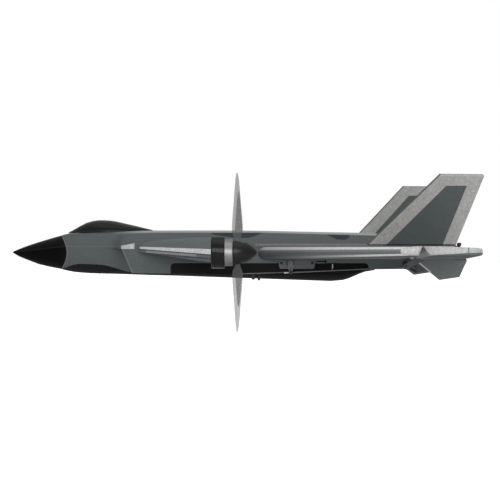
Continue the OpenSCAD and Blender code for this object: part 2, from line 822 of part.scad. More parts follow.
module motor_screws() {
  color("silver")
    for (s = [LEFT, RIGHT]) on_side(s) at_motor() {
      screw_ring(screw_r, -screw_in, screw_in + mount_floor + base_t + 0.1);
      screw_ring(2, mount_floor + base_t + 0.05, 1.3);
    }
}

module stator(s) {
  z0 = mount_front + mount_floor + 0.02;
  z1 = bell_rear - 3.6;
  r_core = bell_d / 2 - bell_wall - 1.4;
  color("darkgoldenrod")
    on_side(s) at_motor() difference() {
      union() {
        translate([0, 0, z0]) cylinder(r = bell_d / 2 - 1.4, h = base_t, $fn = 64);
        translate([0, 0, z0]) cylinder(r = 4.4, h = z1 - z0, $fn = 48);
        translate([0, 0, z0 + base_t + 2.2]) cylinder(r = r_core, h = z1 - z0 - base_t - 3, $fn = 64);
      }
      translate([0, 0, z0 - 1]) cylinder(r = shaft_d / 2 + run_fit, h = 30, $fn = 48);
      screw_ring(screw_r + 0.1, -1, mount_floor + base_t + 2);
    }
}

module bell(s) {
  h = bell_rear - bell_front;
  r = bell_d / 2;
  color("silver")
    on_side(s) at_motor() difference() {
      translate([0, 0, bell_front]) rotate_extrude($fn = 96)
        polygon([[shaft_d / 2 + 0.02, h], [shaft_d / 2 + 0.02, h - 2.4], [r - bell_wall, h - 2.4],
                 [r - bell_wall, 0], [r - 0.3, 0], [r, 0.3], [r, h - 1], [r - 1, h]]);
      for (a = [0 : 60 : 300]) rotate([0, 0, a])
        translate([r * 0.55, 0, bell_rear - 4]) cylinder(r = 2.2, h = 6, $fn = 32);
    }
}

module shaft(s) {
  color("lightgray")
    on_side(s) at_motor() translate([0, 0, mount_front + 1])
      cylinder(r = shaft_d / 2, h = -13 - mount_front - 1, $fn = 48);
}

hub_low = -26.6;
hub_h = 7;
hub_r = 6;
blade_x = -24.3;

blade_chord = [
  [4, 5.2], [9, 5.6], [12.7, 6.8], [15.5, 12], [20, 16.4], [34, 21.4], [48, 21.6], [60, 19.4],
  [70, 15], [76.2, 5]
];

function blade_ring(share) =
  let(
    r = mix(4, prop_d / 2, share), span = r * 152.4 / prop_d,
    c = curve(blade_chord, span), a = atan(prop_pitch / (2 * PI * max(r, 8.5))),
    t = mix(2.2, 0.7, share), lean = curve([[0, 0], [0.5, -0.1], [1, -0.3]], share)
  )
  [for (k = [0 : 9])
    let(u = cos(36 * k) / 2, v = -sin(36 * k) * t / 2 * (1 - 0.35 * cos(36 * k)))
    [r, u * c * cos(a) - v * sin(a), blade_x + lean + u * c * sin(a) + v * cos(a)]];

module propeller(s) {
  color(smoke)
    on_side(s) at_motor() difference() {
      union() {
        translate([0, 0, hub_low]) cylinder(r = hub_r, h = hub_h, $fn = 48);
        for (a = [0, 180]) rotate([0, 0, a])
          loft([for (share = [0, 0.07, 0.13, 0.2, 0.3, 0.42, 0.56, 0.7, 0.82, 0.92, 0.975, 1])
            blade_ring(share)]);
      }
      translate([0, 0, hub_low - 5]) cylinder(r = shaft_d / 2 + 0.02, h = 20, $fn = 48);
    }
}

spin_low = -28.2;
spin_plate = 1.3;
spin_h = 22.8;
spin_wall = 1.2;

// Half width of the spinner's bullet shape at a height above its base
function bullet(r, h, z) = r * pow(1 - pow(z / h, 1.9), 0.72);

module spinner(s) {
  r = spinner_d / 2;
  steps = 12;
  zs = [for (k = [0 : steps]) spin_h * (1 - pow(1 - k / steps, 1.6))];
  color(skin_black)
    on_side(s) at_motor() difference() {
      translate([0, 0, spin_low]) rotate_extrude($fn = 96)
        polygon(concat(
          [for (z = zs) [max(bullet(r, spin_h, z), 0), z]],
          [[0, spin_h - 3]],
          [for (k = [steps - 1 : -1 : 0]) let(z = mix(spin_plate, spin_h - 3, k / steps))
            [max(bullet(r - spin_wall, spin_h - 2.6, z), 0.1), z]],
          [[shaft_d / 2 + 0.02, spin_plate], [shaft_d / 2 + 0.02, 0]]));
      for (a = [0, 180]) rotate([0, 0, a])
        translate([hub_r + 0.2, -6, spin_low - 1]) cube([spinner_d, 12, 11.5]);
    }
}

module prop_nut(s) {
  color("dimgray")
    on_side(s) at_motor() translate([0, 0, hub_low + hub_h + 0.05]) difference() {
      cylinder(r = 4.4, h = 4, $fn = 6);
      translate([0, 0, -1]) cylinder(r = shaft_d / 2 + 0.02, h = 6, $fn = 48);
    }
}

// Servos and linkage

cover_front = servo_x - 12.2;
cover_rear = servo_x + 25.7;
cover_low = servo_z - 6.1;
cover_high = servo_z + 3.4;
cover_t = 1.2;
lug_t = 1.6;
screw_x = [servo_x - 9.6, servo_x + 22.7];
servo_back = servo_x - 5.1;      // forward end of the case
face_y = body_half - 1.9;        // outer face of the servo's lugs
arm_y = body_half + 2.4;         // inner face of the arm
rod_y_at = arm_y + arm_t + 1.4;  // middle of the pushrod
arm_hole = [servo_x + 0.3, servo_z - arm_reach];
pin_x = hinge_root - 0.3;
pin_z = wing_root_z + wing_root_t - horn_drop - 0.45;
horn_y = rod_y_at + rod_d / 2 + 0.75;
pin_r = rod_d / 2;
horn_hole_r = pin_r + 0.65;

module servo_pocket() {
  block([servo_back - slack, body_half - servo_depth - 3, servo_z - servo_w / 2 - slack],
        [servo_back + servo_l + slack, body_half + 1, servo_z + servo_w / 2 + slack]);
  block([cover_front - slack, face_y - lug_t - 0.1, servo_z - servo_w / 2 - slack],
        [cover_rear + slack, body_half + 1, servo_z + servo_w / 2 + slack]);
  for (x = screw_x)
    translate([x, body_half - 9, servo_z]) rod_y(1.05, 12);
}

module servo(s) {
  color([0.12, 0.2, 0.45])
    on_side(s) difference() {
      union() {
        block([servo_back, face_y - servo_depth, servo_z - servo_w / 2],
              [servo_back + servo_l, face_y, servo_z + servo_w / 2]);
        block([cover_front + 0.2, face_y - lug_t, servo_z - servo_w / 2 + 0.2],
              [cover_rear - 0.2, face_y, servo_z + servo_w / 2 - 0.2]);
        translate([servo_x, face_y - 1, servo_z]) rod_y(3.6, 2.7);
      }
      translate([servo_x, face_y - 9, servo_z]) rod_y(2.4 + run_fit, 14);
      for (x = screw_x)
        translate([x, face_y - 5, servo_z]) rod_y(1.05, 10);
    }
}

module servo_cover(s) {
  chamfer = 1.6;
  color(foam_grey)
    on_side(s) difference() {
      translate([0, body_half + 0.1 + cover_t, 0]) rotate([90, 0, 0]) linear_extrude(cover_t)
        polygon([[cover_front, cover_high], [cover_rear, cover_high],
                 [cover_rear, cover_low + 3.4], [cover_rear - chamfer, cover_low],
                 [cover_front + chamfer, cover_low], [cover_front, cover_low + 3.4]]);
      translate([servo_x, body_half - 2, servo_z]) rod_y(4, 5);
      for (x = screw_x)
        translate([x, body_half - 2, servo_z]) rod_y(1.05, 5);
    }
}

module servo_screws() {
  color("silver")
    for (s = [LEFT, RIGHT]) on_side(s) for (x = screw_x) {
      translate([x, body_half - 8, servo_z]) rod_y(1, 8 + cover_t + 0.2);
      translate([x, body_half + cover_t + 0.15, servo_z]) rod_y(1.4, 0.7);
    }
}

module output_shaft(s) {
  color("white")
    on_side(s) {
      translate([servo_x, face_y - 8.6, servo_z]) rod_y(2.4, arm_y - face_y + 8.6 - 0.02);
      translate([servo_x, arm_y - 0.1, servo_z]) rod_y(1.6, arm_t + 0.3);
    }
}

module servo_arm(s) {
  r_hub = 3.2;
  r_tip = 1.9;
  h = arm_t;
  color("white")
    on_side(s) translate([servo_x, arm_y + h, servo_z]) rotate([90, 0, 0]) difference() {
      union() {
        cylinder(r = r_hub, h = h, $fn = 48);
        translate([0.3, -arm_reach, 0]) cylinder(r = r_tip, h = h, $fn = 48);
        linear_extrude(h)
          polygon([[-r_hub + 0.3, -1.4], [r_hub - 0.3, -1.4], [r_tip + 0.28, -arm_reach],
                   [-r_tip + 0.32, -arm_reach]]);
      }
      translate([0, 0, -1]) cylinder(r = 1.6 + 0.02, h = h + 2, $fn = 48);
      translate([0.3, -arm_reach, -1]) cylinder(r = 0.95 + run_fit, h = h + 2, $fn = 48);
    }
}

rod_run = [pin_x - arm_hole[0], pin_z - arm_hole[1]];
rod_angle = atan2(rod_run[1], rod_run[0]);
rod_front = 7.2;                 // how far the wire runs on past the arm

module pushrod(s) {
  color("silver")
    on_side(s) union() {
      translate([arm_hole[0], rod_y_at, arm_hole[1]]) rotate([0, -rod_angle, 0])
        translate([-rod_front, 0, 0]) rod_x(pin_r, rod_front + norm(rod_run));
      translate([pin_x, rod_y_at, pin_z]) sphere(r = pin_r + 0.12, $fn = 32);
      translate([pin_x, rod_y_at, pin_z]) rod_y(pin_r, horn_y + arm_t + 1.6 - rod_y_at);
    }
}

// Barrel that clamps the wire and turns in the arm's hole
module rod_stopper(s) {
  color("goldenrod")
    on_side(s) difference() {
      union() {
        translate([arm_hole[0], arm_y - 0.5, arm_hole[1]]) rod_y(0.95, arm_t + 1);
        translate([arm_hole[0], arm_y + arm_t + 0.15, arm_hole[1]]) rod_y(2.1, 3);
      }
      translate([arm_hole[0], rod_y_at, arm_hole[1]]) rotate([0, -rod_angle, 0])
        translate([-10, 0, 0]) rod_x(pin_r + 0.02, 20);
    }
}

// Horn under the elevon, with a foot along the foam
module horn(s) {
  y = horn_y;
  foot_x = hinge_root + groove_rear * wing_root_t + 1;
  foot_z = wing_root_z + 2;
  hole_z = pin_z + 0.45;
  color(skin_black)
    on_side(s) difference() {
      translate([0, y + arm_t, 0]) rotate([90, 0, 0]) union() {
        translate([pin_x, hole_z, 0]) cylinder(r = 3, h = arm_t, $fn = 48);
        linear_extrude(arm_t)
          polygon([[pin_x - 1.6, hole_z - 2.5], [pin_x + 2, hole_z - 2.2],
                   [foot_x + 7, wing_root_z - 1], [foot_x + 7, foot_z], [foot_x - 2, foot_z],
                   [pin_x - 1, hole_z + 2.8]]);
      }
      translate([pin_x, y - 1, hole_z]) rod_y(horn_hole_r, arm_t + 2);
      on_elevon_cut();
    }
}

// Everything the elevon fills near the horn
module on_elevon_cut() {
  loft([elevon_ring(-0.02), elevon_ring(0.5)]);
}

nose_cone();
fuselage_top();
fuselage_bottom();
belly_pan();
skid_plate();
intake(LEFT);  // intake_left
intake(RIGHT);  // intake_right
launch_pegs();
canopy();
hatch_plate();
canopy_magnets();
hatch_magnets();
equipment_tray();
battery();
battery_strap();
flight_controller();
receiver();
esc(LEFT);  // esc_left
esc(RIGHT);  // esc_right
strake(LEFT);  // strake_left
strake(RIGHT);  // strake_right
wing(LEFT);  // wing_left
wing(RIGHT);  // wing_right
main_spar();
front_spar();
elevon(LEFT);  // elevon_left
elevon(RIGHT);  // elevon_right
horn(LEFT);  // horn_left
horn(RIGHT);  // horn_right
fin(LEFT);  // fin_left
fin(RIGHT);  // fin_right
fin_knobs();
motor_mount(LEFT);  // motor_mount_left
motor_mount(RIGHT);  // motor_mount_right
motor_screws();
stator(LEFT);  // stator_left
stator(RIGHT);  // stator_right
bell(LEFT);  // bell_left
bell(RIGHT);  // bell_right
shaft(LEFT);  // shaft_left
shaft(RIGHT);  // shaft_right
propeller(LEFT);  // propeller_left
propeller(RIGHT);  // propeller_right
spinner(LEFT);  // spinner_left
spinner(RIGHT);  // spinner_right
prop_nut(LEFT);  // prop_nut_left
prop_nut(RIGHT);  // prop_nut_right
servo(LEFT);  // servo_left
servo(RIGHT);  // servo_right
servo_cover(LEFT);  // servo_cover_left
servo_cover(RIGHT);  // servo_cover_right
servo_screws();
servo_arm(LEFT);  // servo_arm_left
servo_arm(RIGHT);  // servo_arm_right
output_shaft(LEFT);  // output_shaft_left
output_shaft(RIGHT);  // output_shaft_right
pushrod(LEFT);  // pushrod_left
pushrod(RIGHT);  // pushrod_right
rod_stopper(LEFT);  // rod_stopper_left
rod_stopper(RIGHT);  // rod_stopper_right
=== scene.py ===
import json
import math

import bmesh
import bpy
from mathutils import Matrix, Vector

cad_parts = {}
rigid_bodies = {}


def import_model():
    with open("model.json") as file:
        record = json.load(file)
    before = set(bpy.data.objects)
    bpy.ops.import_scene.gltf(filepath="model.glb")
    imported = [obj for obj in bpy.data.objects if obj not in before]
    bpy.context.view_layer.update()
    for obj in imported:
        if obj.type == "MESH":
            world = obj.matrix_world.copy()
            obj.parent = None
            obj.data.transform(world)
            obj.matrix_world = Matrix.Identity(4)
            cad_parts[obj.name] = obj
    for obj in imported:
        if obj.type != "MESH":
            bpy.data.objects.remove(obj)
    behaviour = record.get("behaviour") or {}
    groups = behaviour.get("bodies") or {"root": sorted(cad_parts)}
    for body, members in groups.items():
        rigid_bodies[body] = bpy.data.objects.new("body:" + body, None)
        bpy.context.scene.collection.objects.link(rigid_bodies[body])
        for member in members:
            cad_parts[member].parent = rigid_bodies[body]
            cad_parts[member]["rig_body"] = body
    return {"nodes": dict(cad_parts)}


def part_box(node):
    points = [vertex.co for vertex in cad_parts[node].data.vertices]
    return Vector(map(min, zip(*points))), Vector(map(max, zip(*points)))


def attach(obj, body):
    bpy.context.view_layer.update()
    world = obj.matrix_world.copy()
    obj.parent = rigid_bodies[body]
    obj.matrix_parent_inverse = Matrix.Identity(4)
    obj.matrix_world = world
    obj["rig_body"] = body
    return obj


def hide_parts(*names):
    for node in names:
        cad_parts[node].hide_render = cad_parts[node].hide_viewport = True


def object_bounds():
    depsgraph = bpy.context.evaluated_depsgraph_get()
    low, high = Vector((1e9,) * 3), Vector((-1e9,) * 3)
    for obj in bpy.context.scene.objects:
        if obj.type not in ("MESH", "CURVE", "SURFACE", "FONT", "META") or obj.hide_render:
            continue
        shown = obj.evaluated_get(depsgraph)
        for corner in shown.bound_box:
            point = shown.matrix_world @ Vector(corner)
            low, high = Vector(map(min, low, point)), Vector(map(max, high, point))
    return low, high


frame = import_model()
cad_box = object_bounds()
scene = bpy.context.scene
MM = 0.001
WHITE = (1, 1, 1, 1)

# Studio brightness straight down, what it gains up to level, and what it gains from there to overhead
SKY_LOW, SKY_SIDE, SKY_TOP = 0.10, 0.16, 0.24

# Places that several paints share, in millimetres, and the lean of the fins
NOSE_TIP = cad_box[0][0] / MM
WING_TIP = cad_box[1][1] / MM
BODY_HALF = 95.0
FIN_FOOT = 36.0
FIN_LEAN = math.radians(21.5)


# ---------------------------------------------------------------- shader kit

class Value:
    """A node socket with arithmetic, so that a pattern reads as a formula."""

    def __init__(self, graph, socket):
        self.graph = graph
        self.socket = socket

    def __add__(self, other):
        return self.graph.math("ADD", self, other)

    def __radd__(self, other):
        return self.graph.math("ADD", self, other)

    def __sub__(self, other):
        return self.graph.math("SUBTRACT", self, other)

    def __rsub__(self, other):
        return self.graph.math("SUBTRACT", other, self)

    def __mul__(self, other):
        return self.graph.math("MULTIPLY", self, other)

    def __rmul__(self, other):
        return self.graph.math("MULTIPLY", self, other)

    def __neg__(self):
        return self.graph.math("MULTIPLY", self, -1.0)


class Graph:
    """A node tree with arithmetic and outlines."""

    def __init__(self, tree):
        self.tree = tree

    def math(self, operation, a, b=0.0, c=0.0):
        node = self.tree.nodes.new("ShaderNodeMath")
        node.operation = operation
        for socket, v in zip(node.inputs, (a, b, c)):
            if isinstance(v, Value):
                self.tree.links.new(v.socket, socket)
            else:
                socket.default_value = v
        return Value(self, node.outputs[0])

    def least(self, *values):
        out = values[0]
        for v in values[1:]:
            out = self.math("MINIMUM", out, v)
        return out

    def most(self, *values):
        out = values[0]
        for v in values[1:]:
            out = self.math("MAXIMUM", out, v)
        return out

    def edge(self, distance, soft=0.25):
        """1 where distance is positive, 0 where negative, over a soft millimetre edge."""
        node = self.tree.nodes.new("ShaderNodeMapRange")
        node.interpolation_type = "SMOOTHSTEP"
        self.tree.links.new(distance.socket, node.inputs["Value"])
        node.inputs["From Min"].default_value = -soft
        node.inputs["From Max"].default_value = soft
        return Value(self, node.outputs["Result"])

    def ramp(self, value, low, high):
        node = self.tree.nodes.new("ShaderNodeMapRange")
        self.tree.links.new(value.socket, node.inputs["Value"])
        node.inputs["From Min"].default_value = low
        node.inputs["From Max"].default_value = high
        return Value(self, node.outputs["Result"])

    def above(self, points, across, up):
        """Signed distance over a line through two points."""
        (x0, z0), (x1, z1) = points
        length = math.hypot(x1 - x0, z1 - z0)
        nx, nz = -(z1 - z0) / length, (x1 - x0) / length
        return across * nx + up * nz - (x0 * nx + z0 * nz)

    def inside(self, points, across, up):
        """Signed distance into a convex outline whose points run anticlockwise."""
        pairs = zip(points, points[1:] + points[:1])
        return self.least(*[self.above(p, across, up) for p in pairs])


class Paint(Graph):
    """One procedural material. Places are in the row frame, in millimetres."""

    def __init__(self, name):
        self.material = bpy.data.materials.new(name)
        self.material.use_nodes = True
        super().__init__(self.material.node_tree)
        self.tree.nodes.clear()
        place = self.tree.nodes.new("ShaderNodeTexCoord")
        self.place = place.outputs["Object"]
        split = self.tree.nodes.new("ShaderNodeSeparateXYZ")
        self.tree.links.new(self.place, split.inputs[0])
        self.x, self.y, self.z = (Value(self, o) * (1.0 / MM) for o in split.outputs)
        self.side = self.math("ABSOLUTE", self.y)

    def noise(self, size, detail=3.0, stretch=(1, 1, 1)):
        node = self.tree.nodes.new("ShaderNodeTexNoise")
        place = self.place
        if stretch != (1, 1, 1):
            scale = self.tree.nodes.new("ShaderNodeMapping")
            scale.inputs["Scale"].default_value = stretch
            self.tree.links.new(place, scale.inputs["Vector"])
            place = scale.outputs[0]
        self.tree.links.new(place, node.inputs["Vector"])
        node.inputs["Scale"].default_value = 1.0 / (size * MM)
        node.inputs["Detail"].default_value = detail
        node.inputs["Roughness"].default_value = 0.55
        return Value(self, node.outputs[0])

    def cells(self, size, feature):
        node = self.tree.nodes.new("ShaderNodeTexVoronoi")
        node.feature = feature
        self.tree.links.new(self.place, node.inputs["Vector"])
        node.inputs["Scale"].default_value = 1.0 / (size * MM)
        return node

    def cell_seams(self, size):
        """0 on the seams between cells, rising away from them."""
        return Value(self, self.cells(size, "DISTANCE_TO_EDGE").outputs["Distance"])

    def cell_values(self, size):
        """One random value for each cell."""
        split = self.tree.nodes.new("ShaderNodeSeparateColor")
        self.tree.links.new(self.cells(size, "F1").outputs["Color"], split.inputs[0])
        return Value(self, split.outputs[0])

    def mix(self, a, b, share):
        """Colour a where share is 0, and colour b where it is 1."""
        node = self.tree.nodes.new("ShaderNodeMix")
        node.data_type = "RGBA"
        for socket, v in ((node.inputs[6], a), (node.inputs[7], b)):
            if isinstance(v, Value):
                self.tree.links.new(v.socket, socket)
            else:
                socket.default_value = (*v, 1.0)
        if isinstance(share, Value):
            self.tree.links.new(share.socket, node.inputs[0])
        else:
            node.inputs[0].default_value = share
        return Value(self, node.outputs[2])

    def tint(self, color, amount):
        """Colour times a grey value."""
        node = self.tree.nodes.new("ShaderNodeVectorMath")
        node.operation = "SCALE"
        if isinstance(color, Value):
            self.tree.links.new(color.socket, node.inputs[0])
        else:
            node.inputs[0].default_value = color
        self.tree.links.new(amount.socket, node.inputs["Scale"])
        return Value(self, node.outputs[0])

    def worn(self):
        """Near 1 along edges, from how a rounded normal departs from the true one."""
        soft = self.tree.nodes.new("ShaderNodeBevel")
        soft.samples = 4
        soft.inputs["Radius"].default_value = 0.7 * MM
        true = self.tree.nodes.new("ShaderNodeNewGeometry")
        dot = self.tree.nodes.new("ShaderNodeVectorMath")
        dot.operation = "DOT_PRODUCT"
        self.tree.links.new(soft.outputs[0], dot.inputs[0])
        self.tree.links.new(true.outputs["Normal"], dot.inputs[1])
        return self.ramp(1.0 - Value(self, dot.outputs["Value"]), 0.02, 0.16)

    def finish(self, color, rough, height=None, depth=0.1, metal=0.0, coat=0.0, coat_rough=0.1,
               specular=0.5, alpha=1.0):
        shader = self.tree.nodes.new("ShaderNodeBsdfPrincipled")
        out = self.tree.nodes.new("ShaderNodeOutputMaterial")
        self.tree.links.new(shader.outputs[0], out.inputs[0])
        for name, v in (("Base Color", color), ("Roughness", rough), ("Metallic", metal)):
            if isinstance(v, Value):
                self.tree.links.new(v.socket, shader.inputs[name])
            elif isinstance(v, tuple):
                shader.inputs[name].default_value = (*v, 1.0)
            else:
                shader.inputs[name].default_value = v
        shader.inputs["Coat Weight"].default_value = coat
        shader.inputs["Coat Roughness"].default_value = coat_rough
        shader.inputs["Specular IOR Level"].default_value = specular
        shader.inputs["Alpha"].default_value = alpha
        if height is not None:
            bump = self.tree.nodes.new("ShaderNodeBump")
            bump.inputs["Distance"].default_value = depth * MM
            bump.inputs["Strength"].default_value = 1.0
            self.tree.links.new(height.socket, bump.inputs["Height"])
            self.tree.links.new(bump.outputs[0], shader.inputs["Normal"])
        return self.material


# ---------------------------------------------------------------- colours

SLATE = (0.122, 0.139, 0.141)
CAMO = (0.020, 0.025, 0.032)
BLACK = (0.0045, 0.0045, 0.005)
EDGE = (0.30, 0.31, 0.31)
PALE_LINE = (0.20, 0.21, 0.21)
DULL_FOAM = (0.26, 0.27, 0.27)


def beads(p, size):
    """Moulded bead foam: how far each place is from a seam between beads, and a value per bead."""
    return p.ramp(p.cell_seams(size), 0.0, 0.12), p.cell_values(size)


def bare_foam(p, color, spread=0.34):
    """Bead foam without film. Gives its colour, and the seams for its relief."""
    seam, each = beads(p, 2.6)
    fine = p.noise(0.8, 2.0)
    broad = p.noise(9.0, 2.0)
    shade = 0.80 + each * spread * 0.5 + fine * spread * 0.55 + broad * 0.10
    shade = shade * (0.80 + seam * 0.20)
    return p.tint(color, shade), seam


def printed(p, color=SLATE):
    """Printed film over the foam, with the beads just showing through."""
    seam, each = beads(p, 2.8)
    fine = p.noise(0.7, 3.0)
    broad = p.noise(26.0, 3.0)
    shade = 0.88 + fine * 0.16 + broad * 0.12 + each * 0.05
    return p.tint(color, shade * (0.95 + seam * 0.05)), seam


def scuffed_and_highlit(p, color, pale, amount=0.5):
    """Pale wear on convex edges, broken up by grain; the pale edges also stand as a painted highlight along
    ridges.
    """
    grain = p.ramp(p.noise(2.2, 4.0), 0.42, 0.66)
    return p.mix(color, pale, p.worn() * grain * amount)


def over_chine(p):
    """Height over the crease that runs back from the nose's point."""
    return p.z - 28.9 - (p.x - NOSE_TIP) * 0.105


def nose_black(p, color):
    """The black nose, whose rear edge bows back at mid height, with a thin pale line along it, a painted
    highlight along the side crease and painted shade below that crease.
    """
    bow = (p.z - 29.0) * (1.0 / 21.0)
    reach = p.x + 215.2 + bow * bow * 10.0
    inside = p.edge(-reach)
    line = p.edge(0.55 - p.math("ABSOLUTE", reach), 0.3)
    over = over_chine(p)
    # Painted highlight: a lighter line along the side crease. Painted shade: the black is darker below that
    # crease.
    chine_highlight = p.edge(0.35 - p.math("ABSOLUTE", over), 0.25)
    underside_shade = p.edge(-over, 0.6)
    black = p.mix(p.mix(BLACK, (0.0008, 0.0008, 0.001), underside_shade), (0.022, 0.022, 0.024), chine_highlight)
    color = p.mix(color, black, inside)
    return p.mix(color, (0.20, 0.21, 0.212), line), inside


def hull_paint():
    p = Paint("hull_film")
    color, seam = printed(p)
    # Patches of camouflage on the sloped sides of the deck
    mottle = p.tint(CAMO, 0.7 + p.noise(5.0, 3.0) * 0.7)
    for points in (
        [(-59, 54), (-50, 48.3), (-30, 45.0), (-12, 44.8), (0, 49.3), (4, 54)],
        [(71, 54), (74, 47.3), (81, 43.4), (90, 42.8), (97, 46), (100, 54)],
    ):
        wave = (p.noise(9.0, 2.0) - 0.5) * 1.6
        patch = p.edge(p.least(p.inside(points, p.x, p.z) + wave, 51.4 - p.z), 0.3)
        color = p.mix(color, mottle, patch * 0.95)
    color = p.tint(color, 1.0 - p.ramp(p.side, 70, 95) * 0.06)
    # A painted highlight along the corner of the deck and along the crease from the nose; pale foam showing
    # along the shoulder and at the top of the lip
    corner = 52.7 - p.ramp(p.x, -118, -175) * 2.6 - p.ramp(p.x, 0, 133) * 3.4
    grain = p.ramp(p.noise(1.6, 3.0), 0.22, 0.55)
    fade = p.ramp(p.x, -165, -122)
    # Painted highlight: the corner of the deck is lighter
    rim = p.least(p.z - corner + 1.2 + fade * 0.7, 150.0 - p.x)
    color = p.mix(color, (0.56, 0.57, 0.57), p.edge(rim, 0.5) * (0.45 + grain * 0.55) * fade)
    # Painted highlight: a pale line along the crease from the nose
    crease = p.z - 35.5 - p.ramp(p.x, -152, -133) * 3.4
    crease = p.edge(0.35 - p.math("ABSOLUTE", crease), 0.3) * p.edge(-128.0 - p.x, 3.0)
    color = p.mix(color, (0.19, 0.20, 0.20), crease * 0.8)
    shoulder = p.least(p.z - 36.6, 38.8 - p.z, p.x + 6.0, 128.0 - p.x)
    color = p.mix(color, DULL_FOAM, p.edge(shoulder, 0.5) * grain * 0.85)
    lip = [(-147, 33), (-132.6, 33), (-132.6, 39.2), (-147, 36.6)]
    foam = bare_foam(p, (0.62, 0.63, 0.63))[0]
    color = p.mix(color, foam, p.edge(p.inside(lip, p.x, p.z), 0.3) * p.edge(p.side - 84.0, 1.0))
    color = scuffed_and_highlit(p, color, EDGE)
    belly = p.least(6.4 + p.ramp(p.x, -19, 150) * 5.4 - p.z, p.x + 140.0)
    color = p.mix(color, BLACK, p.edge(belly, 0.4))
    color, nose = nose_black(p, color)
    tail = p.ramp(p.x, 40, 150)
    rough = 0.50 - nose * 0.16 + p.noise(1.4, 2.0) * 0.14
    height = seam * (0.25 + tail * 0.75) * (1.0 - nose) + p.noise(0.6, 2.0) * 0.35
    return p.finish(color, rough, height, 0.14, specular=0.16)


def cone_paint():
    p = Paint("nose_satin")
    color = nose_black(p, printed(p)[0])[0]
    upper = p.edge(over_chine(p) - 0.3, 0.5)
    rough = 0.40 - upper * 0.06 + p.noise(3.0) * 0.10
    return p.finish(color, rough, p.noise(0.7), 0.03, coat=0.02, coat_rough=0.3, specular=0.1)


def trunk_paint():
    """The intake boxes: slate film with a long black decal, a pale lip, and a painted highlight along the
    lower edge.
    """
    p = Paint("trunk_film")
    color, seam = printed(p)
    middle_x, middle_z, half_long, half_high, corner = 8.95, 7.4, 103.65, 11.0, 4.0
    dx = p.most(p.math("ABSOLUTE", p.x - middle_x) - (half_long - corner), 0.0)
    dz = p.most(p.math("ABSOLUTE", p.z - middle_z) - (half_high - corner), 0.0)
    decal = p.edge(corner - p.math("SQRT", dx * dx + dz * dz), 0.25) * p.edge(p.side - 90.0, 1.0)
    color = p.tint(color, 1.0 + p.ramp(p.x, -10, 20) * 0.4)
    color = p.mix(color, BLACK, decal)
    # Painted highlight: a pale line along the trunk's lower edge
    lower = p.edge(0.55 - p.math("ABSOLUTE", p.z - 7.2 - p.ramp(p.x, -19, 150) * 5.2), 0.3)
    color = p.mix(color, PALE_LINE, lower * p.edge(p.x + 20.0, 3.0) * 0.9)
    lip = p.edge(1.3 - p.math("ABSOLUTE", p.above([(-146, 33.1), (-135, 8.0)], p.x, p.z)), 0.4)
    color = p.mix(color, PALE_LINE, lip * 0.8)
    color = scuffed_and_highlit(p, color, EDGE, 0.35)
    rough = 0.50 - decal * 0.08 + p.noise(1.2, 3.0) * 0.12
    height = seam * (0.35 + p.ramp(p.x, 20, 150) * 0.65) + p.noise(0.6, 2.0) * 0.35
    return p.finish(color, rough, height, 0.10, specular=0.12)


def pan_paint():
    p = Paint("belly_black")
    grain = p.noise(0.7, 3.0)
    color = p.tint((0.0085, 0.0085, 0.0095), 0.8 + grain * 0.45)
    color = scuffed_and_highlit(p, color, (0.045, 0.045, 0.047), 0.6)
    scratch = p.ramp(p.noise(1.0, 3.0, stretch=(0.05, 1, 1)), 0.62, 0.78)
    color = p.mix(color, (0.035, 0.035, 0.036), scratch * p.edge(-p.z, 3.0) * 0.4)
    return p.finish(color, 0.46 + grain * 0.14, grain, 0.05, specular=0.22)


def strake_paint():
    """Grey strake with two pale bands along its leading edge."""
    p = Paint("strake_film")
    color, seam = printed(p, (0.165, 0.188, 0.190))
    foam = bare_foam(p, (0.83, 0.84, 0.84))[0]
    along = p.ramp(p.x, -128.6, -49.4)
    leading = 95.4 + along * 103.6
    near = p.edge(p.side - leading + 7.0, 0.8)
    parting = 33.4 - along * 4.4
    upper = p.least(35.7 - along * 1.7 - p.z, p.z - parting, (p.x + 126.5) * 0.3)
    dashes = p.edge(p.math("SINE", p.x * 2.6), 0.5) * 0.45 + 0.55
    lower = p.least(parting - 0.9 - p.z, p.z - parting + 3.2, -64.0 - p.x, p.x + 119.0)
    color = p.mix(color, foam, p.edge(upper, 0.35) * near)
    color = p.mix(color, (0.40, 0.41, 0.41), p.edge(lower, 0.3) * near * dashes)
    dark = p.least(parting - p.z, p.z - parting + 0.9)
    color = p.mix(color, (0.05, 0.055, 0.056), p.edge(dark, 0.25) * near * 0.9)
    shadow = p.least(parting - 3.4 - p.z, p.z - parting + 5.0)
    color = p.mix(color, (0.045, 0.05, 0.052), p.edge(shadow, 0.5) * near * 0.7)
    color = scuffed_and_highlit(p, color, EDGE, 0.5)
    height = seam * 0.6 + p.noise(0.6, 2.0) * 0.3
    return p.finish(color, 0.48 + p.noise(1.2, 2.0) * 0.12, height, 0.12, specular=0.2)


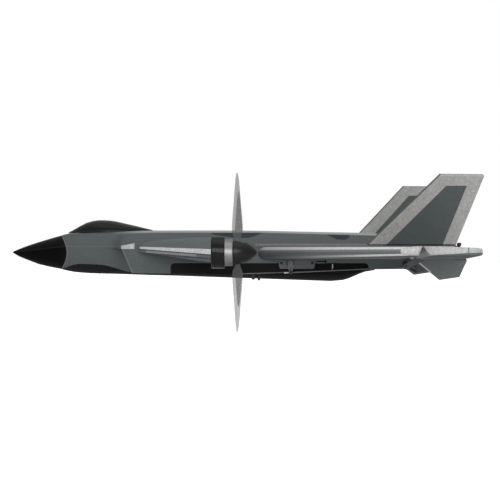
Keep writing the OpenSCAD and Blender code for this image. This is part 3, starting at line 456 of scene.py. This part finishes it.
def wing_paint():
    """Wing and elevon film, bare pale foam on the tip end faces and along the leading edge, a painted
    highlight on the leading edge's upper and lower bands, and painted shade on the underside.
    """
    p = Paint("wing_film")
    color, seam = printed(p, (0.160, 0.180, 0.182))
    foam, foam_seam = bare_foam(p, (0.69, 0.69, 0.687), 0.30)
    out = (p.side - BODY_HALF) * (1.0 / (WING_TIP - BODY_HALF))

    def taper(root, tip):
        """A measure that runs straight from the wing's root to its tip."""
        return out * (tip - root) + root

    bottom = taper(22.1, 29.8)
    thick = taper(14.0, 7.9)
    back = p.x - taper(-3.0, 107.0)
    share = p.math("DIVIDE", p.z - bottom, thick)
    front = p.edge(8.0 - back, 1.5) * p.edge(WING_TIP - 0.9 - p.side, 0.2)
    high = p.edge(p.least(share - 0.70, 0.95 - share), 0.05)
    middle = p.edge(p.least(share - 0.50, 0.95 - share), 0.05)
    low = p.edge(0.22 - share, 0.05) * p.ramp(out, 0.22, 0.80)
    grain = p.ramp(p.noise(1.4, 3.0), 0.15, 0.5) * 0.25 + 0.75
    color = p.mix(color, DULL_FOAM, middle * front * 0.85)
    # Bare foam along the leading edge; its upper and lower bands are brightened further as a painted
    # highlight
    color = p.mix(color, p.tint(foam, 1.0 + low * 0.35 + high * 0.25), p.most(high, low) * front * grain)
    tip = p.edge(p.side - WING_TIP + 0.8, 0.1)
    floor_line = 30.0 + p.ramp(p.x, 125, 161) * 2.3
    point = p.edge(p.least(share - 0.22, 0.52 - share), 0.06) * 5.0
    face = tip * p.edge(p.least(p.x - 101.0 - point, p.z - floor_line), 0.25)
    streak = 0.86 + p.noise(2.4, 2.0, stretch=(1, 1, 0.03)) * 0.28
    color = p.mix(color, p.tint(foam, streak), face)
    seam_line = p.edge(0.5 - p.math("ABSOLUTE", p.x - 161.0), 0.3) * tip
    color = p.mix(color, (0.16, 0.17, 0.17), seam_line * 0.8)
    # Painted shade: the underside is darker, except on the lower band of the leading edge
    underside_shade = p.edge(bottom + 0.6 - p.z, 0.3) * (1.0 - low * front)
    color = p.tint(color, 1.0 - underside_shade * 0.35)
    groove = p.least(bottom + thick - 0.5 - p.z, p.z - bottom - 0.3, WING_TIP - 1.0 - p.side)
    reach = p.math("ABSOLUTE", p.x - taper(151.0, 124.7))
    slant = p.edge(0.8 * thick - reach, 0.4) * p.edge(groove, 0.3)
    color = p.mix(color, (0.31, 0.325, 0.325), slant)
    color = scuffed_and_highlit(p, color, EDGE, 0.5)
    height = p.most(seam * 0.5, foam_seam * face) + p.noise(0.6, 2.0) * 0.3
    return p.finish(color, 0.46 + p.noise(1.2, 2.0) * 0.14, height, 0.13)


def fin_paint():
    """Bare foam fin with a slate panel set inside it, and a slate ventral fin; painted light makes the
    ventral's film lighter, and painted shade darkens the upper fins' inner faces.
    """
    p = Paint("fin_foam")
    color, seam = bare_foam(p, (0.58, 0.575, 0.56), 0.40)
    rise = (p.z - FIN_FOOT) * (1.0 / math.cos(FIN_LEAN))
    core = rise * math.sin(FIN_LEAN) + 90.0
    panel = [(131.5, 1.2), (190.0, 1.2), (210.2, 66.5), (189.7, 66.5)]
    d = p.inside(panel, p.x, rise)
    film = printed(p, (0.125, 0.143, 0.146))[0]
    ventral = p.edge(-rise - 0.5, 0.3)
    # Painted light: a lighter copy of the slate film, set on the ventral fin to make up for its shade low
    # under the body
    ventral_lit_film = printed(p, (0.205, 0.228, 0.234))[0]
    low_edge = p.edge(0.7 - p.above([(164.4, -16.4), (190.2, -37.9)], p.x, rise), 0.2)
    low_edge = low_edge * p.edge(p.z - 8.6, 0.6)
    outer = p.edge(p.side - core, 0.3)
    ventral_lit_film = p.mix(ventral_lit_film, (0.80, 0.81, 0.81), low_edge * outer)
    front = p.edge(0.8 + p.above([(111.7, 1.6), (182.7, 79.4)], p.x, rise), 0.3)
    color = p.mix(color, (0.06, 0.064, 0.066), front * 0.8)
    color = p.mix(color, film, p.edge(d, 0.3))
    color = p.mix(color, ventral_lit_film, ventral)
    rim = p.edge(0.5 - p.math("ABSOLUTE", d), 0.35) * (1.0 - ventral)
    color = p.mix(color, (0.05, 0.056, 0.058), rim * 0.55)
    foot = p.edge(1.2 - p.math("ABSOLUTE", rise - 1.3), 0.4)
    color = p.mix(color, (0.02, 0.021, 0.022), foot * p.edge(205.0 - p.x, 2.0) * 0.8)
    stripe = p.least(
        p.most(
            p.edge(1.5 - p.math("ABSOLUTE", p.above([(168, -22), (190, -33)], p.x, rise)), 0.3),
            p.edge(1.1 - p.math("ABSOLUTE", p.above([(171, -17.5), (194, -29)], p.x, rise)), 0.3),
        ),
        p.edge(p.least(p.x - 168.0, 193.0 - p.x), 0.4),
    )
    inner = p.edge(core - 3.2 - p.side, 0.3)
    color = p.mix(color, BLACK, stripe * ventral * inner)
    # Painted shade: the inner faces of the upper fins are darker
    color = p.tint(color, 1.0 - p.edge(core - p.side, 0.5) * p.edge(rise, 1.0) * 0.22)
    color = scuffed_and_highlit(p, color, (0.5, 0.5, 0.49), 0.25)
    height = seam + p.noise(0.5, 2.0) * 0.4
    return p.finish(color, 0.56 + p.noise(1.0, 2.0) * 0.14, height, 0.12, specular=0.35)


def plain(name, color, rough=0.45, metal=0.0, grain=1.0, swing=0.18, depth=0.03, coat=0.0,
          pale=None, stretch=(1, 1, 1), specular=0.5):
    """A moulded, painted or metal finish with grain, slow variation and worn edges, whose pale edges are
    partly a painted highlight.
    """
    p = Paint(name)
    fine = p.noise(grain, stretch=stretch)
    broad = p.noise(grain * 14, 2.0)
    shade = p.tint(color, 1.0 - swing + fine * swing * 1.2 + broad * swing * 0.8)
    pale = pale or tuple(min(1.0, c * 2.2 + 0.01) for c in color)
    shade = scuffed_and_highlit(p, shade, pale, 0.45)
    return p.finish(shade, rough - 0.05 + fine * 0.1, fine, depth, metal=metal, coat=coat,
                    specular=specular)


def canopy_paint():
    p = Paint("canopy_gloss")
    fine = p.noise(2.0, 3.0)
    color = p.tint((0.0075, 0.0075, 0.0085), 0.85 + fine * 0.3)
    # Painted sheen: the lower band of the canopy is lighter
    lower_sheen = p.edge(53.6 - p.z, 0.4)
    color = p.mix(color, (0.02, 0.02, 0.022), lower_sheen)
    return p.finish(color, 0.28 + fine * 0.08, fine, 0.02, coat=0.07, coat_rough=0.2,
                    specular=0.22)


def brushed_paint():
    """Turned aluminium with fine rings, on the motor bells."""
    p = Paint("bell_aluminium")
    rings = p.noise(0.35, 2.0, stretch=(1, 0.02, 0.02))
    fine = p.noise(0.6, 3.0)
    color = p.tint((0.38, 0.38, 0.385), 0.80 + rings * 0.3 + fine * 0.06)
    groove = p.edge(0.22 - p.math("ABSOLUTE", p.x + 40.6), 0.12)
    color = p.mix(color, (0.12, 0.12, 0.12), groove)
    return p.finish(color, 0.36 + rings * 0.12, rings - groove, 0.03, metal=0.95)


def wire_paint():
    """Pushrod wire, with a painted highlight on the stub ahead of the servo arm."""
    p = Paint("music_wire")
    fine = p.noise(0.4, 3.0)
    color = p.tint((0.24, 0.24, 0.245), 0.85 + fine * 0.3)
    # Painted highlight on the stub ahead of the servo arm
    color = p.mix(color, (0.95, 0.95, 0.94), p.edge(28.7 - p.x, 0.3))
    return p.finish(color, 0.32 + fine * 0.1, fine, 0.02, metal=0.6)


def prop_paint():
    """Smoke-tinted moulded blades."""
    p = Paint("smoke_blade")
    flow = p.noise(4.0, 3.0, stretch=(1, 1, 0.25))
    speck = p.noise(0.5, 2.0)
    reach = p.math("ABSOLUTE", p.z - 30.7)
    color = p.tint((0.20, 0.20, 0.195), 0.8 + flow * 0.3 + speck * 0.08)
    color = p.mix(color, (0.30, 0.30, 0.29), p.ramp(reach, 40, 76) * 0.5)
    color = p.mix(color, (0.09, 0.09, 0.09), p.edge(9.0 - reach, 3.0))
    return p.finish(color, 0.36 + speck * 0.08, flow, 0.04, alpha=0.43, specular=0.4)


# ---------------------------------------------------------------- mesh kit

def body_holding(node):
    return frame["nodes"][node]["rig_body"]


def tidy(bm, angle=0.6):
    bmesh.ops.remove_doubles(bm, verts=bm.verts, dist=2e-6)
    bmesh.ops.dissolve_limit(
        bm, angle_limit=math.radians(angle), verts=bm.verts, edges=bm.edges)
    bmesh.ops.recalc_face_normals(bm, faces=bm.faces)


def shade(mesh, angle=32):
    mesh.shade_smooth()
    mesh.set_sharp_from_angle(angle=math.radians(angle))


def piece(name, mesh, material, body, nodes=()):
    obj = bpy.data.objects.new(name, mesh)
    scene.collection.objects.link(obj)
    mesh.materials.clear()
    mesh.materials.append(material)
    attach(obj, body)
    if nodes:
        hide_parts(*nodes)
    return obj


def dress(node, material, bevel=0.4, segments=2, angle=40, smooth=32, merge=0.6):
    """A softened copy of a CAD node's surface, which stands for that node."""
    mesh = frame["nodes"][node].data.copy()
    bm = bmesh.new()
    bm.from_mesh(mesh)
    tidy(bm, merge)
    bm.to_mesh(mesh)
    bm.free()
    obj = piece("look_" + node, mesh, material, body_holding(node), [node])
    if bevel:
        mod = obj.modifiers.new("soft_edges", "BEVEL")
        mod.width = bevel * MM
        mod.segments = segments
        mod.limit_method = "ANGLE"
        mod.angle_limit = math.radians(angle)
        mod.harden_normals = True
    shade(mesh, smooth)
    return obj


# ---------------------------------------------------------------- dressing

PAINTS = {
    "hull": hull_paint(), "cone": cone_paint(), "trunk": trunk_paint(), "pan": pan_paint(),
    "strake": strake_paint(), "wing": wing_paint(), "fin": fin_paint(),
    "canopy": canopy_paint(), "bell": brushed_paint(), "prop": prop_paint(), "wire": wire_paint(),
}
PLAIN = {
    "black_plastic": plain("moulded_black", (0.008, 0.008, 0.0088), 0.34, grain=0.8, coat=0.05,
                           specular=0.4),
    "horn_grey": plain("horn_grey", (0.15, 0.16, 0.165), 0.45, grain=0.7),
    # Near-black: on the catch pin its own colour; on the catch slot and the arm's holes, thin plates that
    # stand for painted shade
    "hole_shade_and_pin_black": plain("hole_shade_and_pin_black_paint", (0.002, 0.002, 0.002), 0.6, grain=0.6, specular=0.1),
    "gloss_black": plain("gloss_black", (0.006, 0.006, 0.0066), 0.22, grain=0.8, swing=0.12,
                         pale=(0.05, 0.05, 0.05), specular=0.32),
    "nylon": plain("nylon_dark", (0.19, 0.195, 0.20), 0.42, grain=0.6),
    "cover": plain("cover_grey", (0.165, 0.172, 0.176), 0.46, grain=0.7,
                   pale=(0.16, 0.165, 0.17)),
    "servo_case": plain("servo_dark", (0.006, 0.006, 0.008), 0.4, specular=0.3),
    "steel": plain("bright_steel", (0.60, 0.60, 0.61), 0.28, metal=1.0, grain=0.4, swing=0.1),
    # Near-white finish for the wire guide: a painted glint
    "bright": plain("wire_glint_white", (0.85, 0.85, 0.84), 0.5, grain=0.4, swing=0.08),
    "dark_steel": plain("blackened_steel", (0.03, 0.03, 0.031), 0.36, metal=0.9, grain=0.4),
    "winding": plain("enamelled_wire", (0.42, 0.16, 0.05), 0.35, metal=0.8, grain=0.5,
                     stretch=(1, 0.1, 0.1)),
    "carbon": plain("carbon_rod", (0.012, 0.012, 0.013), 0.32, grain=0.9, coat=0.3),
    "plywood": plain("plywood_tray", (0.45, 0.29, 0.15), 0.6, grain=1.2, depth=0.08,
                     stretch=(0.08, 1, 1)),
    "battery": plain("shrink_wrap", (0.02, 0.035, 0.13), 0.3, grain=2.0, coat=0.3, depth=0.1),
    "webbing": plain("strap_webbing", (0.02, 0.02, 0.022), 0.8, grain=0.5, depth=0.25),
    "board": plain("solder_mask", (0.008, 0.07, 0.02), 0.35, grain=0.8, coat=0.2),
    "device": plain("device_case", (0.014, 0.014, 0.016), 0.5, grain=0.7),
    "foam_light": plain("plug_foam", (0.34, 0.34, 0.33), 0.7, grain=1.4, depth=0.15),
}

dress("nose_cone", PAINTS["cone"], 0.3, smooth=50)
dress("fuselage_top", PAINTS["hull"], 0.5, angle=48, smooth=42)
dress("fuselage_bottom", PAINTS["hull"], 0.4, angle=48, smooth=42)
dress("belly_pan", PAINTS["pan"], 0.4, angle=48, smooth=42)
dress("skid_plate", PAINTS["pan"], 0.5)
dress("launch_pegs", PLAIN["black_plastic"], 0.3)
dress("canopy", PAINTS["canopy"], 0.0, smooth=50)
dress("hatch_plate", PLAIN["foam_light"], 0.5)
dress("fin_knobs", PLAIN["black_plastic"], 0.35, segments=3)
for s in ("left", "right"):
    dress("intake_" + s, PAINTS["trunk"], 0.8, segments=3)
    dress("strake_" + s, PAINTS["strake"], 0.5, angle=50, smooth=48)
    dress("wing_" + s, PAINTS["wing"], 0.0, smooth=48, merge=0.01)
    dress("elevon_" + s, PAINTS["wing"], 0.0, smooth=48, merge=0.01)
    dress("fin_" + s, PAINTS["fin"], 0.8, segments=3)
    dress("motor_mount_" + s, PLAIN["gloss_black"], 0.5)
    dress("bell_" + s, PAINTS["bell"], 0.25)
    dress("stator_" + s, PLAIN["winding"], 0.2)
    dress("shaft_" + s, PLAIN["steel"], 0.2)
    dress("propeller_" + s, PAINTS["prop"], 0.0, smooth=55)
    dress("spinner_" + s, PLAIN["black_plastic"], 0.2, smooth=40)
    dress("prop_nut_" + s, PLAIN["dark_steel"], 0.3)
    dress("servo_" + s, PLAIN["servo_case"], 0.4)
    dress("servo_cover_" + s, PLAIN["cover"], 0.3, segments=3)
    dress("servo_arm_" + s, PLAIN["nylon"], 0.2)
    dress("output_shaft_" + s, PLAIN["nylon"], 0.2)
    dress("pushrod_" + s, PAINTS["wire"], 0.0)
    dress("rod_stopper_" + s, PLAIN["dark_steel"], 0.2)
    dress("horn_" + s, PLAIN["horn_grey"], 0.25)
    dress("esc_" + s, PLAIN["device"], 0.8)
dress("motor_screws", PLAIN["steel"], 0.2)
dress("servo_screws", PLAIN["dark_steel"], 0.15)
dress("hatch_magnets", PLAIN["steel"], 0.2)
dress("canopy_magnets", PLAIN["steel"], 0.2)
dress("main_spar", PLAIN["carbon"], 0.2)
dress("front_spar", PLAIN["carbon"], 0.2)
dress("equipment_tray", PLAIN["plywood"], 0.2)
dress("battery", PLAIN["battery"], 2.0, segments=4)
dress("battery_strap", PLAIN["webbing"], 0.2)
dress("flight_controller", PLAIN["board"], 0.2)
dress("receiver", PLAIN["device"], 0.6)


# ---------------------------------------------------------------- small fittings

def disc(x, z, r, steps=24):
    turns = [2 * math.pi * k / steps for k in range(steps)]
    return [(x + r * math.cos(a), z + r * math.sin(a)) for a in turns]


def rounded(x0, z0, x1, z1, r, steps=6):
    """Outline of a box with round corners."""
    out = []
    for cx, cz, turn in ((x1 - r, z1 - r, 0), (x0 + r, z1 - r, 90), (x0 + r, z0 + r, 180),
                         (x1 - r, z0 + r, 270)):
        for k in range(steps + 1):
            a = math.radians(turn + 90 * k / steps)
            out.append((cx + r * math.cos(a), cz + r * math.sin(a)))
    return out


def crescent(x, z, r, half_angle, width, steps=12):
    """Outline of a piece of a ring that bulges aft, thinner at its ends."""
    turns = [math.radians(-half_angle + 2 * half_angle * k / steps) for k in range(steps + 1)]
    outer = [(x + r * math.cos(a), z + r * math.sin(a)) for a in turns]
    inner = []
    for k, a in reversed(list(enumerate(turns))):
        t = width * (0.45 + 0.55 * math.sin(math.pi * k / steps))
        inner.append((x + (r - t) * math.cos(a), z + (r - t) * math.sin(a)))
    return outer + inner


def fitting(name, outline, inner, outer, side, material, body, bevel=0.12):
    """A plate with an outline in X and Z, between two distances from the middle of the model."""
    bm = bmesh.new()
    near = [bm.verts.new((x * MM, side * inner * MM, z * MM)) for x, z in outline]
    far = [bm.verts.new((x * MM, side * outer * MM, z * MM)) for x, z in outline]
    bm.faces.new(near)
    bm.faces.new(far)
    for k in range(len(outline)):
        j = (k + 1) % len(outline)
        bm.faces.new((near[k], near[j], far[j], far[k]))
    bmesh.ops.recalc_face_normals(bm, faces=bm.faces)
    mesh = bpy.data.meshes.new(name)
    bm.to_mesh(mesh)
    bm.free()
    obj = piece(name, mesh, material, body)
    mod = obj.modifiers.new("soft_edges", "BEVEL")
    mod.width = bevel * MM
    mod.segments = 2
    mod.limit_method = "ANGLE"
    mod.angle_limit = math.radians(50)
    shade(mesh, 40)
    return obj


def millimetres(node):
    low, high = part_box(node)
    return [v * 1000 for v in low], [v * 1000 for v in high]


def fit_out(s, side):
    """Small fittings round the servo and at the ends of the linkage."""
    low, high = millimetres("servo_cover_" + s)
    face = max(abs(low[1]), abs(high[1]))
    skin = face - 1.3                 # the cover stands this far out of the body's side
    front, rear, top, bottom = low[0], high[0], high[2], low[2]
    for k, x in enumerate((front + 4.3, front + 6.8)):
        fitting("cover_rib_%d_%s" % (k, s), rounded(x - 0.4, bottom + 0.6, x + 0.4, top - 0.5, 0.3),
                face - 0.1, face + 0.28, side, PLAIN["cover"], "airframe")
    # Painted shade: a thin black plate stands for the shade in the catch slot
    fitting("catch_slot_" + s, rounded(rear + 1.2, top - 2.2, rear + 11.2, top - 1.2, 0.4),
            skin - 0.1, skin + 0.12, side, PLAIN["hole_shade_and_pin_black"], "airframe", 0.04)
    fitting("catch_plate_" + s, rounded(rear + 1.2, top - 3.9, rear + 10.0, top - 2.5, 0.4),
            skin - 0.1, skin + 0.3, side, PLAIN["cover"], "airframe")
    fitting("catch_pin_" + s, rounded(rear + 10.0, top - 3.2, rear + 11.8, top - 0.6, 0.8),
            skin - 0.1, skin + 0.5, side, PLAIN["hole_shade_and_pin_black"], "airframe")
    # The wire guide's near-white finish is a painted glint
    fitting("wire_guide_" + s, crescent(rear + 13.6, bottom + 2.3, 5.6, 32, 1.3),
            skin - 0.1, skin + 0.7, side, PLAIN["bright"], "airframe")
    low, high = millimetres("servo_arm_" + s)
    face = max(abs(low[1]), abs(high[1]))
    middle = (low[0] + high[0]) / 2 + 0.2
    for k in (0, 1):
        # Painted shade: thin black discs stand for the shade inside the arm's holes
        fitting("arm_hole_%d_%s" % (k, s), disc(middle, low[2] + 4.7 + 1.7 * k, 0.5),
                face - 0.3, face + 0.04, side, PLAIN["hole_shade_and_pin_black"], "servo_arm_" + s, 0.01)
    low, high = millimetres("pushrod_" + s)
    pin = high[0] - 0.77
    rod = min(abs(low[1]), abs(high[1])) + 0.65
    fitting("clevis_" + s, rounded(pin - 2.9, high[2] - 2.0, pin + 2.7, high[2] + 5.6, 2.7),
            rod - 1.9, rod + 0.65, side, PLAIN["black_plastic"], "pushrod_" + s, 0.6)


fit_out("left", -1)
fit_out("right", 1)


# ---------------------------------------------------------------- stage

def stage():
    """A pale floor and a graded sky. Seen by the camera both are plain white; as lights they are softer."""
    floor = bpy.data.meshes.new("floor")
    bm = bmesh.new()
    reach, level = 14, -0.34
    corners = [(-reach, -reach), (reach, -reach), (reach, reach), (-reach, reach)]
    bm.faces.new([bm.verts.new((x, y, level)) for x, y in corners])
    bm.to_mesh(floor)
    bm.free()
    obj = bpy.data.objects.new("floor", floor)
    scene.collection.objects.link(obj)
    p = Paint("pale_floor")
    shader = p.tree.nodes.new("ShaderNodeBsdfPrincipled")
    out = p.tree.nodes.new("ShaderNodeOutputMaterial")
    p.tree.links.new(shader.outputs[0], out.inputs[0])
    shader.inputs["Base Color"].default_value = (0.75, 0.75, 0.75, 1)
    shader.inputs["Roughness"].default_value = 0.9
    shader.inputs["Emission Color"].default_value = WHITE
    seen = p.tree.nodes.new("ShaderNodeLightPath")
    p.tree.links.new(seen.outputs["Is Camera Ray"], shader.inputs["Emission Strength"])
    floor.materials.append(p.material)

    world = bpy.data.worlds.new("white")
    world.use_nodes = True
    w = Graph(world.node_tree)
    place = w.tree.nodes.new("ShaderNodeTexCoord")
    split = w.tree.nodes.new("ShaderNodeSeparateXYZ")
    w.tree.links.new(place.outputs["Generated"], split.inputs[0])
    height = Value(w, split.outputs["Z"])
    sky = w.ramp(height, 0.0, 1.0) * SKY_TOP + w.ramp(height, -1.0, 0.0) * SKY_SIDE + SKY_LOW
    seen = Value(w, w.tree.nodes.new("ShaderNodeLightPath").outputs["Is Camera Ray"])
    strength = w.most(sky, seen)
    back = w.tree.nodes["Background"]
    back.inputs[0].default_value = WHITE
    w.tree.links.new(strength.socket, back.inputs[1])
    scene.world = world


def lamp(name, place, target, size, power):
    light = bpy.data.lights.new(name, "AREA")
    light.shape = "RECTANGLE"
    light.size, light.size_y = size
    light.energy = power
    obj = bpy.data.objects.new(name, light)
    scene.collection.objects.link(obj)
    obj.location = place
    aim = Vector(target) - Vector(place)
    obj.rotation_euler = aim.to_track_quat("-Z", "Y").to_euler()


def camera():
    """Nearly level with the model, on its port side, as in the photograph."""
    down, turn = 0.57, -0.46          # degrees
    data = bpy.data.cameras.new("camera")
    data.lens = 72
    data.sensor_width = 36
    data.clip_start = 0.05
    data.clip_end = 60
    obj = bpy.data.objects.new("camera", data)
    scene.collection.objects.link(obj)
    obj.location = (-0.020, -1.142, 0.0426)
    obj.rotation_euler = (math.radians(90 - down), 0, math.radians(turn))
    scene.camera = obj


stage()
camera()
lamp("key", place=(-0.1, -0.35, 1.3), target=(0, 0, 0), size=(1.6, 0.9), power=2.2)
lamp("front", place=(0.0, -1.6, 0.36), target=(0, 0, 0.03), size=(1.3, 0.7), power=8.5)
scene.view_settings.view_transform = "Standard"
